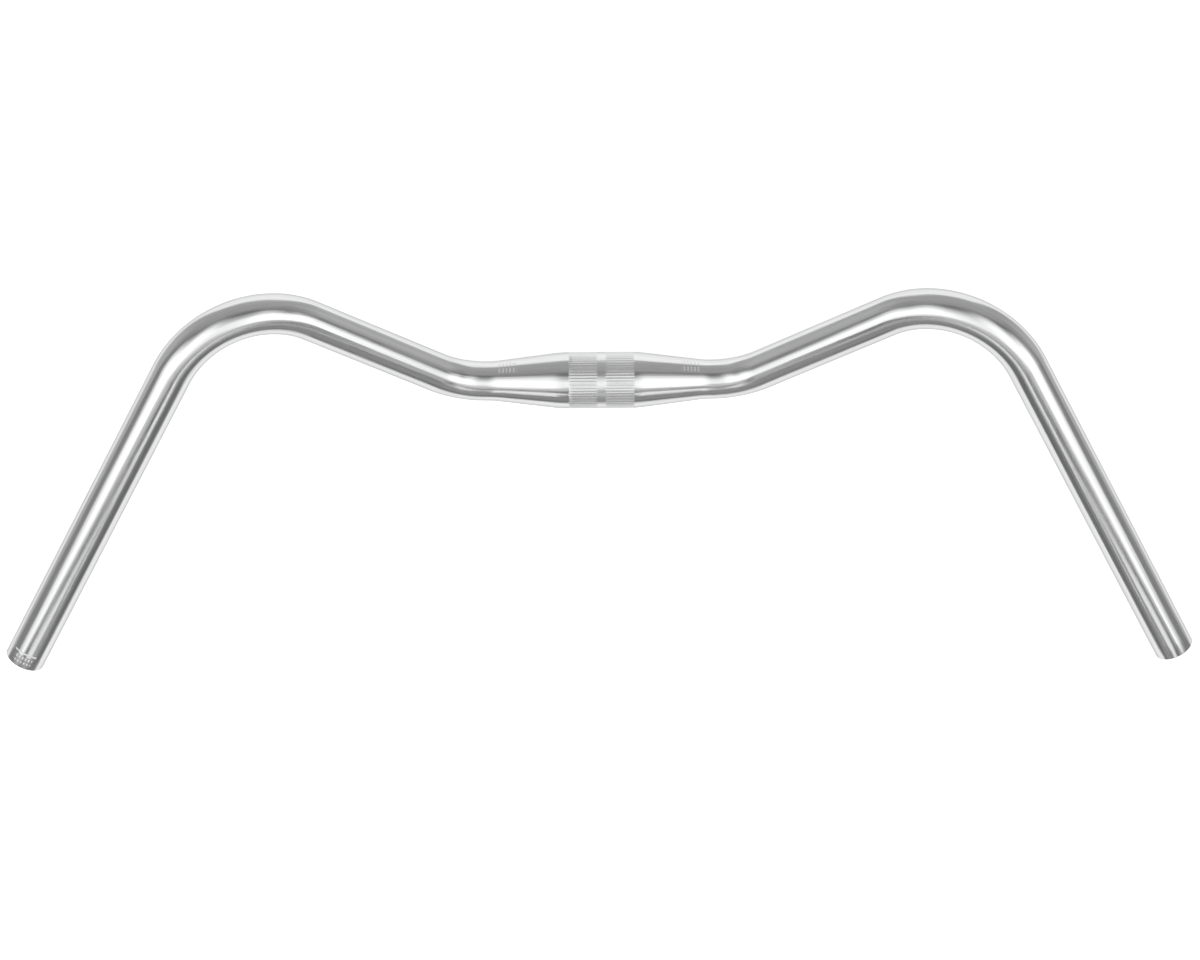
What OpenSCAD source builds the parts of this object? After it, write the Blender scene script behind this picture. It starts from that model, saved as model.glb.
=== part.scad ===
// Swept-back handlebar: one bent and swaged aluminium tube.
// Millimetres. The origin is the middle of the clamp zone, +X runs along the clamp zone,
// +Y is the way the bar bulges forward and +Z is up. The bar is drawn lying as it comes to
// rest on a table: on the clamp zone and on the rims of its two open ends.

/* [Clamp zone] */
// outside diameter where the stem grips the bar
clamp_d = 31.8; // [29:0.1:34]
// length at the full clamp diameter
clamp_len = 34; // [28:1:44]
// wall thickness under the clamp zone
clamp_wall = 2.8; // [2:0.1:4]
// length over which the tube narrows on each side, between the corners of the cone
taper_len = 38.5; // [30:0.5:40]

/* [Tube] */
// outside diameter of the bends and the grips
tube_d = 22.2; // [20:0.1:24]
// wall thickness of the bends and the grips
wall = 2.2; // [1.6:0.1:3]
// rounding of the rim at each open end
rim_r = 0.6; // [0.2:0.1:0.8]

/* [Bends] */
// straight middle part, from inner bend to inner bend
centre_len = 126; // [126:1:160]
// radius of the inner bends, to the tube's axis
inner_bend_r = 45; // [35:1:70]
// how far the wings point forward, in degrees from the clamp axis
wing_forward = 22; // [10:1:30]
// how far the wings rise, in degrees above the table
wing_rise = 34; // [15:1:42]
// straight part of each wing
wing_len = 84.5; // [60:0.5:110]
// radius of the outer bends, to the tube's axis
outer_bend_r = 54.5; // [45:0.5:75]
// how far the grips point back, in degrees from the clamp axis
grip_back = 58.8; // [45:0.1:75]
// straight part of each grip
grip_len = 198.5; // [150:0.5:230]

/* [Hidden] */
$fn = 96;

clamp_r = clamp_d / 2;
tube_r = tube_d / 2;
bore_r = tube_r - wall;
clamp_bore_r = clamp_r - clamp_wall;
half = centre_len / 2;

// half the length of the two arcs that round the ends of each cone
ease_in = 4.5;
ease_out = 3;
cone_from = clamp_len / 2 + ease_in;
cone_to = min(cone_from + taper_len, half - ease_out);

// unit vector from an angle about Z and an angle above the table
function dir(back, up) = [cos(up) * cos(back), cos(up) * sin(back), sin(up)];
function unit(v) = v / norm(v);
// the part of b at right angles to a: the way a bend turns
function turn(a, b) = unit(b - a * (a * b));
function angle_between(a, b) = acos(a * b);
function bend_step(a, b, r) =
  r * (sin(angle_between(a, b)) * a + (1 - cos(angle_between(a, b))) * turn(a, b));

along = [1, 0, 0];
wing_dir = dir(wing_forward, wing_rise);
wing_end = [half, 0, 0] + bend_step(along, wing_dir, inner_bend_r) + wing_len * wing_dir;

// from the end of a grip's axis down to the lowest point of its rounded rim, for a grip along g
function rim_below(g) = rim_r * g[2] + (tube_r - rim_r) * sqrt(1 - pow(g[2], 2)) + rim_r;
// height of that point, for grips that drop by this many degrees
function end_bottom(drop) = let (g = dir(-grip_back, -drop))
  (wing_end + bend_step(wing_dir, g, outer_bend_r) + grip_len * g)[2] - rim_below(g);
// the drop at which the ends touch the same table as the clamp zone, by halving
function resting_drop(lo, hi, n) = let (m = (lo + hi) / 2)
  n == 0 ? m : end_bottom(m) > -clamp_r ? resting_drop(m, hi, n - 1) : resting_drop(lo, m, n - 1);
grip_drop = resting_drop(0, 60, 40);
grip_dir = dir(-grip_back, -grip_drop);

// the closest angle, within a few hundredths of a degree, whose sine and cosine are both whole
// millionths: each length of tube then meets the next in one plane, with no step from rounding
function off_grid(c) = let (s = 1e6 * sqrt(1 - c * c)) abs(s - round(s));
function on_grid(a) = let (
    near = round(1e6 * cos(a)),
    tries = [for (i = [-600:600]) [off_grid((near + i) / 1e6), (near + i) / 1e6]],
    least = min([for (t = tries) t[0]]))
  sign(a) * acos([for (t = tries) if (t[0] == least) t[1]][0]);

inner_angle = on_grid(angle_between(along, wing_dir));
outer_angle = on_grid(angle_between(wing_dir, grip_dir));
// roll about the tube's axis that brings each bend into its own plane
inner_turn = turn(along, wing_dir);
inner_roll = on_grid(atan2(inner_turn[2], inner_turn[1]));
to_centre = turn(wing_dir, -along);
outer_turn = turn(wing_dir, grip_dir);
outer_roll = on_grid(atan2(outer_turn * cross(-to_centre, wing_dir), outer_turn * to_centre));

// the same directions again from those angles, and the wing's length, within a millimetre of
// wing_len, that puts the ends on the table
first_turn = [0, cos(inner_roll), sin(inner_roll)];
wing_axis = cos(inner_angle) * along + sin(inner_angle) * first_turn;
bend_side = cos(inner_angle) * first_turn - sin(inner_angle) * along;
second_turn = cos(outer_roll) * bend_side + sin(outer_roll) * cross(-bend_side, wing_axis);
grip_axis = cos(outer_angle) * wing_axis + sin(outer_angle) * second_turn;
bends_height = inner_bend_r * (sin(inner_angle) * along + (1 - cos(inner_angle)) * first_turn)[2]
  + outer_bend_r * (sin(outer_angle) * wing_axis + (1 - cos(outer_angle)) * second_turn)[2];
wing = (rim_below(grip_axis) - clamp_r - bends_height - grip_len * grip_axis[2]) / wing_axis[2];

// outline of the middle part from the axis: full radius, a cone with eased corners, tube radius
slope = 1 / (cone_to - cone_from);
function ease(x) =
  x <= cone_from - ease_in ? 0
  : x < cone_from + ease_in ? slope * pow(x - cone_from + ease_in, 2) / (4 * ease_in)
  : x <= cone_to - ease_out ? slope * (x - cone_from)
  : x < cone_to + ease_out ? 1 - slope * pow(cone_to + ease_out - x, 2) / (4 * ease_out)
  : 1;
steps = [for (i = [0:6]) cone_from - ease_in + i * 2 * ease_in / 6,
         for (i = [0:5]) cone_to - ease_out + i * 2 * ease_out / 5];
function half_outline(big, small) = concat(
  [for (x = steps) if (x < half - 0.01) [big + (small - big) * ease(x), x]],
  [[small, half]]);
function mirrored(pts) = [for (i = [len(pts) - 1:-1:0]) [pts[i][0], -pts[i][1]]];

// the straight middle part with its swelling, along X
module middle(big, small) {
  side = half_outline(big, small);
  rotate([0, 90, 0])
    rotate_extrude()
      polygon(concat([[0, -half]], mirrored(side), side, [[0, half]]));
}

// a bend that starts at the origin along +Y and turns towards -X, with what follows it as children
module bend(r, bend_r, turn_angle) {
  wide = 2 * (bend_r + r) + 20;
  translate([-bend_r, 0, 0]) {
    difference() {
      rotate([0, 0, -90]) rotate_extrude() translate([bend_r, 0]) circle(r = r);
      translate([-wide / 2, -wide, -r - 5]) cube([wide, wide, 2 * r + 10]);
      rotate([0, 0, turn_angle]) translate([-wide / 2, 0, -r - 5]) cube([wide, wide, 2 * r + 10]);
    }
    rotate([0, 0, turn_angle]) translate([bend_r, 0, 0]) children();
  }
}

// round bar from the origin along +Y
module straight(r, length) {
  rotate([-90, 0, 0]) cylinder(r = r, h = length);
}

// the last straight length: a rounded rim outside, or an eased mouth on the bore
module rounded_end(r, length) {
  rotate([-90, 0, 0]) rotate_extrude()
    polygon(concat([[0, 0], [r, 0]],
      [for (i = [0:5]) let (a = 18 * i) [r - rim_r + rim_r * cos(a), length - rim_r + rim_r * sin(a)]],
      [[0, length]]));
}
module eased_mouth(r, length) {
  rotate([-90, 0, 0]) rotate_extrude()
    polygon([[0, 0], [r, 0], [r, length - rim_r / 2], [r + rim_r / 2, length], [r + rim_r / 2, length + 2], [0, length + 2]]);
}

// one side of the bar from the end of the middle part to the rim
module side(r, is_bore) {
  translate([half, 0, 0]) rotate([0, 0, -90]) rotate([0, inner_roll, 0])
    bend(r, inner_bend_r, inner_angle) {
      straight(r, wing);
      translate([0, wing, 0]) rotate([0, outer_roll, 0])
        bend(r, outer_bend_r, outer_angle) {
          if (is_bore) eased_mouth(r, grip_len);
          else rounded_end(r, grip_len);
        }
    }
}

module bar(is_bore) {
  r = is_bore ? bore_r : tube_r;
  middle(is_bore ? clamp_bore_r : clamp_r, r);
  side(r, is_bore);
  mirror([1, 0, 0]) side(r, is_bore);
}

module handlebar() {
  color([0.80, 0.81, 0.83])
    difference() {
      bar(false);
      bar(true);
    }
}

handlebar();
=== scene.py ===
import math

import bpy
import numpy as np
from mathutils import Matrix, Vector


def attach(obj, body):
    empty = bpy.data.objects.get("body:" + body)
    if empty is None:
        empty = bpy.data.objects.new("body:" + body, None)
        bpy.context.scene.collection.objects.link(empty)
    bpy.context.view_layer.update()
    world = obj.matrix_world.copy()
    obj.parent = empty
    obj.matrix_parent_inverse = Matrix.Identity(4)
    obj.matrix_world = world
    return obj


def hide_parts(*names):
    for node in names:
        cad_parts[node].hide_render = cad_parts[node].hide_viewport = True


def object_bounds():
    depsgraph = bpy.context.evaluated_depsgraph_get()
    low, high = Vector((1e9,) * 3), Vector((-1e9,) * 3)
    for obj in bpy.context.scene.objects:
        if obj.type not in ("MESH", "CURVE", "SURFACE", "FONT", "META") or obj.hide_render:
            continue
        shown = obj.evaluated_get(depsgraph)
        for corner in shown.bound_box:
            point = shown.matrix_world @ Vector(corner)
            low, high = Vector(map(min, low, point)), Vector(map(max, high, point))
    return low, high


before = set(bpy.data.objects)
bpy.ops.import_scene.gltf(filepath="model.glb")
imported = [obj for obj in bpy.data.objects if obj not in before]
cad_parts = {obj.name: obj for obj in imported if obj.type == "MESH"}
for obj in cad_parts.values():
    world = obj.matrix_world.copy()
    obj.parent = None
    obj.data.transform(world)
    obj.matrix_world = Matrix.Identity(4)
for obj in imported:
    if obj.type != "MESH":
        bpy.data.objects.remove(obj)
cad_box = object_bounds()

# ---------------------------------------------------------------------------------------------
# The tube's axis, in millimetres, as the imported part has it: straight, bend, straight, bend, straight
# ---------------------------------------------------------------------------------------------
HALF = 63.0  # straight middle part, from the middle of the clamp zone
INNER_R, INNER_A, INNER_ROLL = 45.0, math.radians(39.73062672), math.radians(60.97239199)
WING = 85.0081282
OUTER_R, OUTER_A, OUTER_ROLL = 54.5, math.radians(94.78138009), math.radians(148.88657146)
GRIP = 198.5
TUBE_R, CLAMP_R = 11.1, 15.9
BORE_R, CLAMP_BORE_R = 8.9, 13.1
RIM = 0.6
EASE_IN, EASE_OUT, CONE_FROM, CONE_TO = 4.5, 3.0, 21.5, 60.0

X = np.array([1.0, 0.0, 0.0])
side1 = np.array([0.0, math.cos(INNER_ROLL), math.sin(INNER_ROLL)])
wing_dir = math.cos(INNER_A) * X + math.sin(INNER_A) * side1
back1 = math.cos(INNER_A) * side1 - math.sin(INNER_A) * X
side2 = math.cos(OUTER_ROLL) * back1 + math.sin(OUTER_ROLL) * np.cross(-back1, wing_dir)
grip_dir = math.cos(OUTER_A) * wing_dir + math.sin(OUTER_A) * side2
S1 = HALF
S2 = S1 + INNER_R * INNER_A
S3 = S2 + WING
S4 = S3 + OUTER_R * OUTER_A
S5 = S4 + GRIP
P1 = HALF * X
P2 = P1 + INNER_R * (math.sin(INNER_A) * X + (1 - math.cos(INNER_A)) * side1)
P3 = P2 + WING * wing_dir
P4 = P3 + OUTER_R * (math.sin(OUTER_A) * wing_dir + (1 - math.cos(OUTER_A)) * side2)


def turned(v, axis, a):
    return v * math.cos(a) + np.cross(axis, v) * math.sin(a) + axis * (axis @ v) * (1 - math.cos(a))


def station(s):
    """Centre, direction and the two cross directions of the axis at arc length s from the middle."""
    a = abs(s)
    axis1, axis2 = np.cross(X, side1), np.cross(wing_dir, side2)
    n0, b0 = np.array([0.0, 1.0, 0.0]), np.array([0.0, 0.0, 1.0])
    q1 = min(max(a - S1, 0.0) / INNER_R, INNER_A)
    q2 = min(max(a - S3, 0.0) / OUTER_R, OUTER_A)
    n = turned(turned(n0, axis1, q1), axis2, q2)
    b = turned(turned(b0, axis1, q1), axis2, q2)
    t = turned(turned(X, axis1, q1), axis2, q2)
    if a <= S1:
        c = a * X
    elif a <= S2:
        c = P1 + INNER_R * (math.sin(q1) * X + (1 - math.cos(q1)) * side1)
    elif a <= S3:
        c = P2 + (a - S2) * wing_dir
    elif a <= S4:
        c = P3 + OUTER_R * (math.sin(q2) * wing_dir + (1 - math.cos(q2)) * side2)
    else:
        c = P4 + (a - S4) * grip_dir
    if s < 0:
        flip = np.array([-1.0, 1.0, 1.0])
        return c * flip, -t * flip, n * flip, b * flip
    return c, t, n, b


def ease(x):
    slope = 1 / (CONE_TO - CONE_FROM)
    if x <= CONE_FROM - EASE_IN:
        return 0.0
    if x < CONE_FROM + EASE_IN:
        return slope * (x - CONE_FROM + EASE_IN) ** 2 / (4 * EASE_IN)
    if x <= CONE_TO - EASE_OUT:
        return slope * (x - CONE_FROM)
    if x < CONE_TO + EASE_OUT:
        return 1 - slope * (CONE_TO + EASE_OUT - x) ** 2 / (4 * EASE_OUT)
    return 1.0


def outer_r(s):
    return CLAMP_R + (TUBE_R - CLAMP_R) * ease(abs(s))


def inner_r(s):
    return CLAMP_BORE_R + (BORE_R - CLAMP_BORE_R) * ease(abs(s))


# ---------------------------------------------------------------------------------------------
# The tube: one closed skin, outside from the left rim to the right rim and back through the bore
# ---------------------------------------------------------------------------------------------
N_OUT, N_MID, N_IN = 180, 360, 60
# the two rolled bands of straight serrations, with a plain stripe between them
KNURL = ((-17.1, -1.15), (3.65, 19.75))
TEETH, TOOTH_DEPTH, RUN_OUT = 60, 0.15, 0.45


def stops(a, b, step):
    n = max(1, round((b - a) / step))
    return [a + (b - a) * i / n for i in range(n)]


right = []
right += stops(S1, S2, INNER_R * math.radians(2.2))
right += stops(S2, S3, 9.0)
right += stops(S3, S4, OUTER_R * math.radians(2.4))
right += stops(S4, S5 - RIM, 9.0)
cone = ([CONE_FROM - EASE_IN + i * 2 * EASE_IN / 9 for i in range(10)]
        + stops(CONE_FROM + EASE_IN, CONE_TO - EASE_OUT, 3.1)[1:]
        + [CONE_TO - EASE_OUT + i * 2 * EASE_OUT / 6 for i in range(6)])


def tooth(s):
    """How deep the serrations are cut at s, from 0 to 1."""
    for lo, hi in KNURL:
        if lo < s < hi:
            return min(1.0, (s - lo) / RUN_OUT, (hi - s) / RUN_OUT)
    return 0.0


middle = set()
for x in cone:
    middle.add(round(x, 5)); middle.add(round(-x, 5))
for lo, hi in KNURL:
    middle |= {x for x in list(middle) if not lo < x < hi} & middle
    middle = {x for x in middle if not (lo - 0.2 < x < hi + 0.2)}
for lo, hi in KNURL:
    middle |= {lo, lo + RUN_OUT, hi - RUN_OUT, hi}
    middle |= {round(x, 5) for x in stops(lo + RUN_OUT, hi - RUN_OUT, 1.9)}
middle |= {-0.3, 1.25, 2.8}
middle = sorted(middle)

rings = []  # (s, radius, count, cut)
for i in range(7):
    a = math.radians(90 - 15 * i)
    rings.append((-(S5 - RIM + RIM * math.sin(a)), TUBE_R - RIM + RIM * math.cos(a), N_OUT, 0.0))
rings += [(-s, TUBE_R, N_OUT, 0.0) for s in reversed(right)]
rings += [(s, outer_r(s), N_MID, tooth(s)) for s in middle]
rings += [(s, TUBE_R, N_OUT, 0.0) for s in right]
for i in range(7):
    a = math.radians(15 * i)
    rings.append((S5 - RIM + RIM * math.sin(a), TUBE_R - RIM + RIM * math.cos(a), N_OUT, 0.0))
outside = len(rings)
inner = ([S5, S5 - 0.3]
         + [s for s in reversed(stops(S4, S5 - 0.3, 24.0))]
         + [s for s in reversed(stops(S3, S4, OUTER_R * math.radians(5)))]
         + [s for s in reversed(stops(S2, S3, 21.0))]
         + [s for s in reversed(stops(S1, S2, INNER_R * math.radians(5)))]
         + [CONE_TO + EASE_OUT - 1.2 * i for i in range(1, 6)]
         + [50.0, 40.0, 30.0] + [CONE_FROM + EASE_IN - 1.8 * i for i in range(6)] + [8.0])
for s in inner:
    rings.append((s, BORE_R + 0.3 if s == S5 else inner_r(s), N_IN, 0.0))
for s in reversed(inner):
    rings.append((-s, BORE_R + 0.3 if s == S5 else inner_r(s), N_IN, 0.0))

verts, flow, zone, starts = [], [], [], []
for k, (s, r, n, cut) in enumerate(rings):
    c, t, nn, bb = station(s)
    starts.append(sum(len(v) for v in verts))
    ph = np.arange(n) * 2 * math.pi / n
    rad = np.full(n, r)
    if cut:
        rad = rad - TOOTH_DEPTH * cut * (0.5 - 0.5 * np.cos(ph * TEETH))
    verts.append(c + rad[:, None] * (np.cos(ph)[:, None] * nn + np.sin(ph)[:, None] * bb))
    flow.append(np.stack([np.full(n, s), 11.1 * np.cos(ph), 11.1 * np.sin(ph)], -1))
    # 0 on the straights, 1 in the bends, 2 inside the tube
    a = abs(s)
    bend = 1.0 if (S1 < a < S2 or S3 < a < S4) else 0.0
    zone.append(np.full(n, bend if k < outside else 2.0))
co = np.concatenate(verts) / 1000
flow = np.concatenate(flow)
zone = np.concatenate(zone)


def bridge(i, j):
    """Faces between ring i and ring j, seen from outside. One ring's count divides the other's."""
    a0, na, b0, nb = starts[i], rings[i][2], starts[j], rings[j][2]
    out = []
    if na == nb:
        for k in range(na):
            m = (k + 1) % na
            out.append((a0 + k, a0 + m, b0 + m, b0 + k))
    elif nb > na:
        q = nb // na
        for k in range(na):
            m, h = (k + 1) % na, (q + 1) // 2
            for d in range(q):
                x, y = b0 + k * q + d, b0 + (k * q + d + 1) % nb
                if d == h:
                    out.append((a0 + k, a0 + m, x))
                out.append((a0 + (k if d < h else m), y, x))
            if h >= q:
                out.append((a0 + k, a0 + m, b0 + ((k + 1) * q) % nb))
    else:
        q = na // nb
        for k in range(nb):
            m, h = (k + 1) % nb, (q + 1) // 2
            for d in range(q):
                x, y = a0 + k * q + d, a0 + (k * q + d + 1) % na
                if d == h:
                    out.append((b0 + m, b0 + k, x))
                out.append((x, y, b0 + (k if d < h else m)))
            if h >= q:
                out.append((b0 + m, b0 + k, a0 + ((k + 1) * q) % na))
    return out


faces = []
for i in range(len(rings)):
    faces += bridge(i, (i + 1) % len(rings))

mesh = bpy.data.meshes.new("handlebar_tube")
mesh.from_pydata([tuple(v) for v in co], [], faces)
mesh.update()
mesh.shade_smooth()
mesh.set_sharp_from_angle(angle=math.radians(38))
at = mesh.attributes.new("flow", "FLOAT_VECTOR", "POINT")
at.data.foreach_set("vector", flow.astype(np.float32).ravel())
at = mesh.attributes.new("zone", "FLOAT", "POINT")
at.data.foreach_set("value", zone.astype(np.float32))
bar = bpy.data.objects.new("handlebar_tube", mesh)
bpy.context.scene.collection.objects.link(bar)


# ---------------------------------------------------------------------------------------------
# Node helpers
# ---------------------------------------------------------------------------------------------
class Nodes:
    def __init__(self, tree):
        self.tree = tree
        tree.nodes.clear()

    def put(self, socket, value):
        if isinstance(value, bpy.types.NodeSocket):
            self.tree.links.new(value, socket)
        elif value is not None:
            socket.default_value = value

    def add(self, kind, **settings):
        node = self.tree.nodes.new(kind)
        for k, v in settings.items():
            setattr(node, k, v)
        return node

    def math(self, op, a, b=None, c=None, clamp=False):
        node = self.add("ShaderNodeMath", operation=op, use_clamp=clamp)
        for socket, value in zip(node.inputs, (a, b, c)):
            self.put(socket, value)
        return node.outputs[0]

    def scaled(self, vector, by):
        node = self.add("ShaderNodeVectorMath", operation="MULTIPLY")
        self.put(node.inputs[0], vector)
        node.inputs[1].default_value = by
        return node.outputs[0]

    def noise(self, vector, scale, detail=2.0, rough=0.5, distortion=0.0):
        node = self.add("ShaderNodeTexNoise", noise_dimensions="3D")
        self.put(node.inputs["Vector"], vector)
        node.inputs["Scale"].default_value = scale
        node.inputs["Detail"].default_value = detail
        node.inputs["Roughness"].default_value = rough
        node.inputs["Distortion"].default_value = distortion
        return node.outputs["Fac"]

    def span(self, value, lo, hi, to_lo=0.0, to_hi=1.0, smooth=True):
        node = self.add("ShaderNodeMapRange", interpolation_type="SMOOTHSTEP" if smooth else "LINEAR")
        self.put(node.inputs["Value"], value)
        for name, v in (("From Min", lo), ("From Max", hi), ("To Min", to_lo), ("To Max", to_hi)):
            node.inputs[name].default_value = v
        return node.outputs["Result"]

    def within(self, value, centre, half, soft):
        """1 where value is within half of centre, 0 beyond, with a soft edge."""
        d = self.math("ABSOLUTE", self.math("SUBTRACT", value, centre))
        return self.span(d, half + soft, half - soft)


def material(name):
    m = bpy.data.materials.new(name)
    m.use_nodes = True
    return m, Nodes(m.node_tree)


# ---------------------------------------------------------------------------------------------
# Satin aluminium
# ---------------------------------------------------------------------------------------------
metal, N = material("satin_aluminium")
flow_at = N.add("ShaderNodeAttribute", attribute_name="flow").outputs["Vector"]
zone_at = N.add("ShaderNodeAttribute", attribute_name="zone").outputs["Fac"]
split = N.add("ShaderNodeSeparateXYZ")
N.put(split.inputs[0], flow_at)
run = split.outputs["X"]
around = N.math("ARCTAN2", split.outputs["Z"], split.outputs["Y"])  # 0 forward, +pi/2 up
bends = N.span(zone_at, 0.0, 1.0)
bore = N.span(zone_at, 1.2, 1.8)

# polishing lines that run along the tube: fine ones, and broad faint streaks
fine = N.noise(N.scaled(flow_at, (0.035, 1.0, 1.0)), 4.2, 3.0, 0.6)
streak = N.noise(N.scaled(flow_at, (0.012, 1.0, 1.0)), 0.85, 2.0, 0.55)
# orange peel of the stretched skin, and large soft clouds of the finish
grain = N.noise(flow_at, 0.8, 2.0, 0.5)
cloud = N.noise(N.scaled(flow_at, (0.25, 1.0, 1.0)), 0.09, 2.0, 0.5)

# where the finish differs: the rolled bands, the stripe between them
rolled = N.math("ADD",
                N.within(run, sum(KNURL[0]) / 2, (KNURL[0][1] - KNURL[0][0]) / 2, 0.1),
                N.within(run, sum(KNURL[1]) / 2, (KNURL[1][1] - KNURL[1][0]) / 2, 0.1))
stripe = N.within(run, (KNURL[0][1] + KNURL[1][0]) / 2, (KNURL[1][0] - KNURL[0][1]) / 2, 0.1)

# etched marks: an insertion line with a scale of ticks near the left end, and a short ladder of
# ticks on each taper
END_AT = 1.56
end_line = N.math("MULTIPLY",
                  N.within(run, -(S5 - 9.2), 0.42, 0.10),
                  N.within(around, END_AT, 0.62, 0.02))
tick_wave = N.math("PINGPONG", N.math("MULTIPLY", around, 11.1), 0.95)
end_ticks = N.math("MULTIPLY",
                   N.math("ADD", N.within(run, -(S5 - 6.2), 0.80, 0.1), N.within(run, -(S5 - 3.4), 0.60, 0.1)),
                   N.math("MULTIPLY", N.within(around, END_AT, 0.50, 0.02), N.span(tick_wave, 0.56, 0.40)))
ladder = None
for sign in (-1, 1):
    rungs = N.math("MULTIPLY",
                   N.math("MULTIPLY", N.within(run, sign * 51.5, 5.2, 0.12),
                          N.math("ADD", N.within(around, 0.74, 0.12, 0.02), N.within(around, 1.10, 0.12, 0.02))),
                   N.span(N.math("PINGPONG", N.math("ADD", run, 500.0), 1.0), 0.56, 0.40))
    ladder = rungs if ladder is None else N.math("ADD", ladder, rungs)
# the ground that the ticks are etched in
patch = N.math("MULTIPLY", N.within(run, -(S5 - 4.0), 3.6, 0.5), N.within(around, END_AT + 0.05, 0.85, 0.12))
etched = N.math("ADD", N.math("ADD", end_line, end_ticks), N.math("MULTIPLY", ladder, 0.50), clamp=True)

bsdf = N.add("ShaderNodeBsdfPrincipled")
out = N.add("ShaderNodeOutputMaterial")
N.put(out.inputs["Surface"], bsdf.outputs[0])
bsdf.inputs["IOR"].default_value = 1.5
bsdf.inputs["Specular Tint"].default_value = (0.62, 0.62, 0.62, 1)  # duller at the edges

N.put(bsdf.inputs["Metallic"], N.math("SUBTRACT", 1.0, N.math("MULTIPLY", etched, 0.8)))
tone = N.math("ADD", N.span(streak, 0.3, 0.7, -0.022, 0.022), N.span(cloud, 0.3, 0.7, -0.02, 0.02))
tone = N.math("ADD", tone, N.span(fine, 0.3, 0.7, -0.03, 0.03))
tone = N.math("ADD", 0.885, tone)
tone = N.math("SUBTRACT", tone, N.math("MULTIPLY", patch, 0.26))
tone = N.math("SUBTRACT", tone, N.math("MULTIPLY", bore, 0.25))
tone = N.math("ADD", tone, N.math("MULTIPLY", N.math("ADD", rolled, stripe), 0.05))
tone = N.math("ADD", tone, N.math("MULTIPLY", etched, N.math("ADD", 0.09, N.math("MULTIPLY", patch, 0.25))))
tint = N.add("ShaderNodeCombineColor")
N.put(tint.inputs["Red"], N.math("MULTIPLY", tone, 0.997))
N.put(tint.inputs["Green"], tone)
N.put(tint.inputs["Blue"], N.math("MULTIPLY", tone, 1.004))
N.put(bsdf.inputs["Base Color"], tint.outputs[0])

rough = N.math("ADD", 0.155, N.span(fine, 0.25, 0.75, -0.03, 0.04))
rough = N.math("ADD", rough, N.span(cloud, 0.3, 0.7, -0.015, 0.02))
rough = N.math("ADD", rough, N.math("MULTIPLY", bends, 0.035))
rough = N.math("ADD", rough, N.math("MULTIPLY", rolled, 0.26))
rough = N.math("ADD", rough, N.math("MULTIPLY", patch, 0.16))
rough = N.math("ADD", rough, N.math("MULTIPLY", stripe, 0.14))
rough = N.math("ADD", rough, N.math("MULTIPLY", bore, 0.2))
rough = N.math("ADD", rough, N.math("MULTIPLY", etched, 0.38))
N.put(bsdf.inputs["Roughness"], rough)

height = N.math("ADD", N.math("MULTIPLY", fine, 0.004), N.math("MULTIPLY", streak, 0.060))
height = N.math("ADD", height, N.math("MULTIPLY", N.math("MULTIPLY", grain, N.math("ADD", 0.15, bends)), 0.016))
height = N.math("SUBTRACT", height, N.math("MULTIPLY", etched, 0.02))
bump = N.add("ShaderNodeBump")
bump.inputs["Strength"].default_value = 1.0
bump.inputs["Distance"].default_value = 0.001
N.put(bump.inputs["Height"], height)
N.put(bsdf.inputs["Normal"], bump.outputs[0])

mesh.materials.append(metal)
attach(bar, "root")
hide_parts("handlebar")

# ---------------------------------------------------------------------------------------------
# Pale table and the studio round it
# ---------------------------------------------------------------------------------------------
TABLE_Z = cad_box[0].z - 0.00002
pale, N = material("pale_table")
bsdf = N.add("ShaderNodeBsdfPrincipled")
out = N.add("ShaderNodeOutputMaterial")
N.put(out.inputs["Surface"], bsdf.outputs[0])
bsdf.inputs["Base Color"].default_value = (0.86, 0.86, 0.86, 1)
bsdf.inputs["Roughness"].default_value = 0.7
bsdf.inputs["Specular IOR Level"].default_value = 0.1
bsdf.inputs["Emission Color"].default_value = (1, 1, 1, 1)
bsdf.inputs["Emission Strength"].default_value = 0.65
me = bpy.data.meshes.new("table")
me.from_pydata([(-7, -7, TABLE_Z), (7, -7, TABLE_Z), (7, 7, TABLE_Z), (-7, 7, TABLE_Z)], [], [(0, 1, 2, 3)])
me.materials.append(pale)
table = bpy.data.objects.new("table", me)
bpy.context.scene.collection.objects.link(table)
table.visible_glossy = False  # the metal mirrors the sweep below instead

# One big diffuser hangs over the bar, its lit shape given in units of its height: a broad fan that
# fades out to the left, the right and the back, and a narrow strip in front of it
TOP_Z = 0.9
glow, N = material("diffuser")
split = N.add("ShaderNodeSeparateXYZ")
N.put(split.inputs[0], N.add("ShaderNodeTexCoord").outputs["Object"])
px = N.math("ABSOLUTE", N.math("DIVIDE", split.outputs["X"], TOP_Z))
py = N.math("DIVIDE", split.outputs["Y"], TOP_Z)
# the camera looks through a dim gap in its middle
gap = N.span(px, 0.34, 0.10)
back_edge = N.math("ADD", py, N.math("MULTIPLY", N.math("MULTIPLY", px, px), 0.14))
back_edge = N.math("ADD", back_edge, N.math("MULTIPLY", gap, 0.20))
back_edge = N.math("ADD", back_edge, N.math("MULTIPLY", N.within(px, 0.72, 0.14, 0.12), 0.17))
front_edge = N.math("ADD", py, N.math("MULTIPLY", px, 0.45))
fan = N.math("MULTIPLY", N.span(px, 3.1, 1.0), N.span(back_edge, 0.60, -0.10))
fan = N.math("MULTIPLY", fan, N.span(front_edge, -0.70, -0.56))
fan = N.math("MULTIPLY", fan, N.math("SUBTRACT", 1.0, N.math("MULTIPLY", gap, 0.22)))
fill = N.math("MULTIPLY", N.within(px, 0.0, 1.15, 0.15), N.within(py, -0.94, 0.29, 0.05))
strip_edge = N.math("SUBTRACT", py, N.math("MULTIPLY", px, 0.45))
strip = N.math("MULTIPLY", N.span(strip_edge, -1.70, -1.82), N.span(py, -3.75, -3.35))
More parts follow.
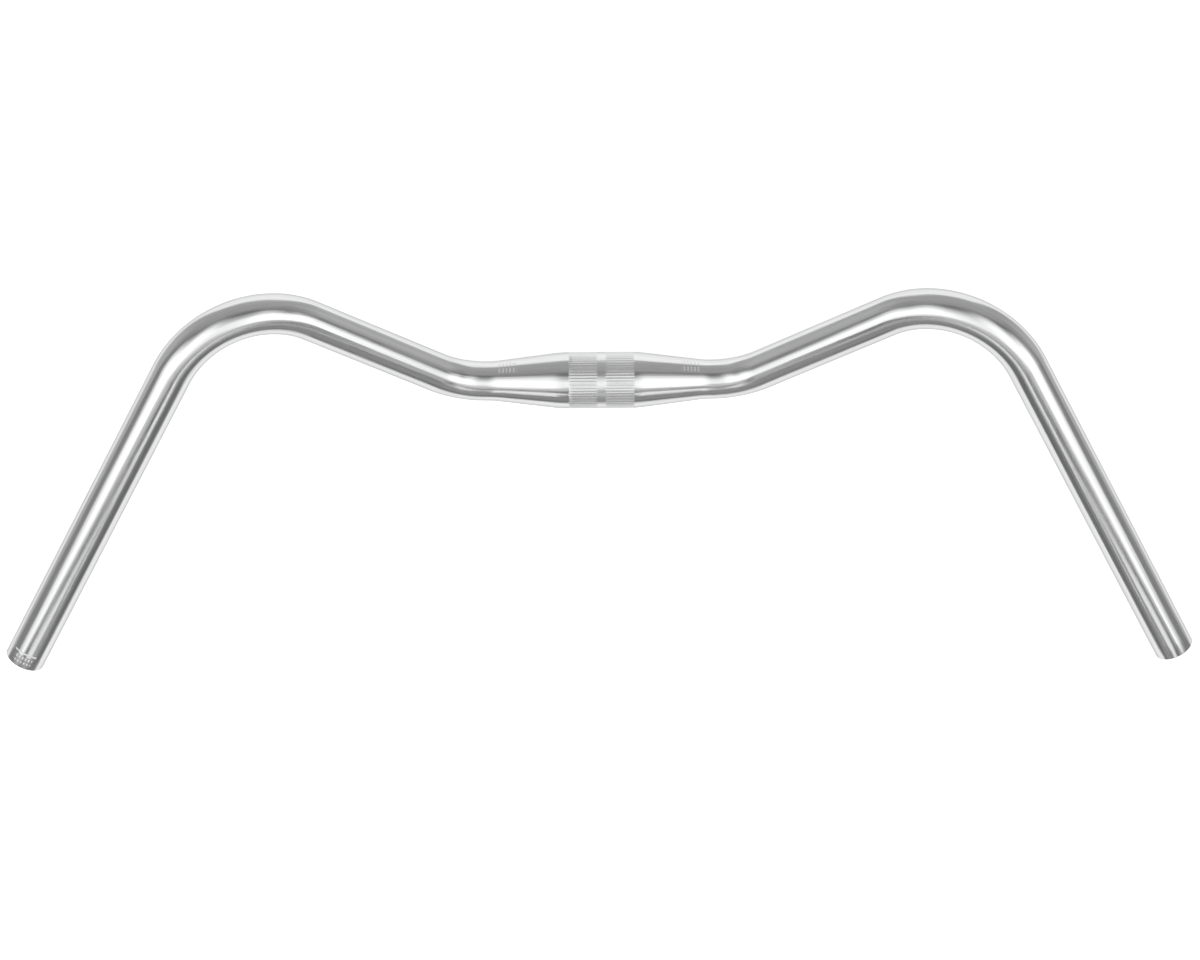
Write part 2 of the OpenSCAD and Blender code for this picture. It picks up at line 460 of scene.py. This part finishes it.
strip = N.math("MULTIPLY", strip, N.within(px, 0.0, 0.80, 0.10))
tail = N.math("MULTIPLY", N.span(py, -2.15, -2.30), N.span(px, 0.52, 0.42))
strip = N.math("MULTIPLY", strip, N.math("SUBTRACT", 1.0, N.math("MULTIPLY", tail, 0.85)))
strip = N.math("MULTIPLY", strip, N.span(px, 0.02, 0.15, 0.5, 1.0))
side_strip = N.math("MULTIPLY", N.within(px, 1.55, 0.50, 0.12), N.within(py, -3.05, 0.42, 0.15))
level = N.math("ADD", N.math("MULTIPLY", fan, 1.08), N.math("MULTIPLY", strip, 0.85))
level = N.math("ADD", level, N.math("MULTIPLY", side_strip, 0.48))
side_fill = N.math("MULTIPLY", N.within(px, 1.64, 0.28, 0.14), N.within(py, -1.95, 0.62, 0.12))
level = N.math("ADD", level, N.math("MULTIPLY", side_fill, 0.38))
level = N.math("MAXIMUM", level, N.math("MULTIPLY", fill, 0.38))
# the floor gets its light from the same diffuser, so only the lower side shines
face = N.math("SUBTRACT", 1.0, N.add("ShaderNodeNewGeometry").outputs["Backfacing"])
emit = N.add("ShaderNodeEmission")
N.put(emit.inputs["Strength"], N.math("MULTIPLY", level, face))
both = N.add("ShaderNodeAddShader")
N.put(both.inputs[0], emit.outputs[0])
N.put(both.inputs[1], N.add("ShaderNodeBsdfTransparent").outputs[0])
N.put(N.add("ShaderNodeOutputMaterial").inputs["Surface"], both.outputs[0])
me = bpy.data.meshes.new("diffuser")
me.from_pydata([(-3.2, 0.8, 0), (3.2, 0.8, 0), (3.2, -3.45, 0), (-3.2, -3.45, 0)], [], [(0, 1, 2, 3)])
me.materials.append(glow)
o = bpy.data.objects.new("diffuser", me)
o.location = (0, 0, TOP_Z)
bpy.context.scene.collection.objects.link(o)
o.visible_camera = False
o.visible_shadow = False

# a weak real lamp for the table and the etched marks; the metal doesn't mirror it
lamp = bpy.data.lights.new("soft_lamp", "AREA")
lamp.shape = "SQUARE"
lamp.size = 2.4
lamp.energy = 5.0
o = bpy.data.objects.new("soft_lamp", lamp)
o.location = (0.0, -0.25, 1.7)
o.visible_glossy = False
o.visible_camera = False
bpy.context.scene.collection.objects.link(o)

# the room: dark round the diffuser, a grey wall behind, a white sweep below that the metal sees only
# from well under the horizon, and pale where the camera looks past the table
world = bpy.data.worlds.new("studio")
world.use_nodes = True
bpy.context.scene.world = world
N = Nodes(world.node_tree)
split = N.add("ShaderNodeSeparateXYZ")
N.put(split.inputs[0], N.add("ShaderNodeTexCoord").outputs["Generated"])
rx, ry, rz = split.outputs["X"], split.outputs["Y"], split.outputs["Z"]
wide = N.math("ABSOLUTE", rx)
lean = N.math("ARCTAN2", ry, rz)
level = N.math("ADD", N.span(lean, math.radians(50), math.radians(62), 0.0, 0.22), 0.15)
level = N.math("ADD", level, N.span(wide, 0.55, 0.95, 0.0, 0.08))
backing = N.math("MULTIPLY", N.within(lean, math.radians(43), math.radians(13), math.radians(5)),
                 N.math("SUBTRACT", 1.0, N.math("MULTIPLY", N.within(wide, 0.74, 0.14, 0.08), 0.35)))
level = N.math("ADD", level, N.math("MULTIPLY", backing, 0.18))
front = N.math("MULTIPLY", N.within(lean, math.radians(-87), math.radians(12), math.radians(5)),
               N.span(wide, 0.48, 0.36))
level = N.math("ADD", level, N.math("MULTIPLY", front, 0.12))
behind = N.math("MULTIPLY", N.span(ry, 0.0, 0.2), N.span(wide, 0.68, 0.30))
edge = N.math("ADD", rz, N.math("MULTIPLY", behind, -0.42))
sweep = N.span(edge, -0.27, -0.43)
level = N.math("ADD", N.math("MULTIPLY", level, N.math("SUBTRACT", 1.0, sweep)), N.math("MULTIPLY", sweep, 0.99))
room = N.add("ShaderNodeBackground")
room.inputs["Color"].default_value = (1, 1, 1, 1)
N.put(room.inputs["Strength"], level)
seen = N.add("ShaderNodeBackground")
seen.inputs["Color"].default_value = (1, 1, 1, 1)
seen.inputs["Strength"].default_value = 0.84
pick = N.add("ShaderNodeMixShader")
N.put(pick.inputs[0], N.add("ShaderNodeLightPath").outputs["Is Camera Ray"])
N.put(pick.inputs[1], room.outputs[0])
N.put(pick.inputs[2], seen.outputs[0])
N.put(N.add("ShaderNodeOutputWorld").inputs["Surface"], pick.outputs[0])

bpy.context.scene.view_settings.view_transform = "Standard"
bpy.context.scene.view_settings.look = "None"

# ---------------------------------------------------------------------------------------------
# Camera: looks straight down on the lying bar
# ---------------------------------------------------------------------------------------------
cam_data = bpy.data.cameras.new("camera")
cam_data.sensor_fit = "HORIZONTAL"
cam_data.sensor_width = 36.0
cam_data.lens = 78.0
cam_data.clip_start, cam_data.clip_end = 0.05, 30.0
cam = bpy.data.objects.new("camera", cam_data)
ry, rz = math.radians(-0.7906), math.radians(-0.5055)
turn = math.hypot(ry, rz)
cam.matrix_world = (Matrix.Translation((-0.02021, -0.056487, 1.472138))
                    @ Matrix.Rotation(turn, 4, Vector((0, ry / turn, rz / turn))))
bpy.context.scene.collection.objects.link(cam)
bpy.context.scene.camera = cam
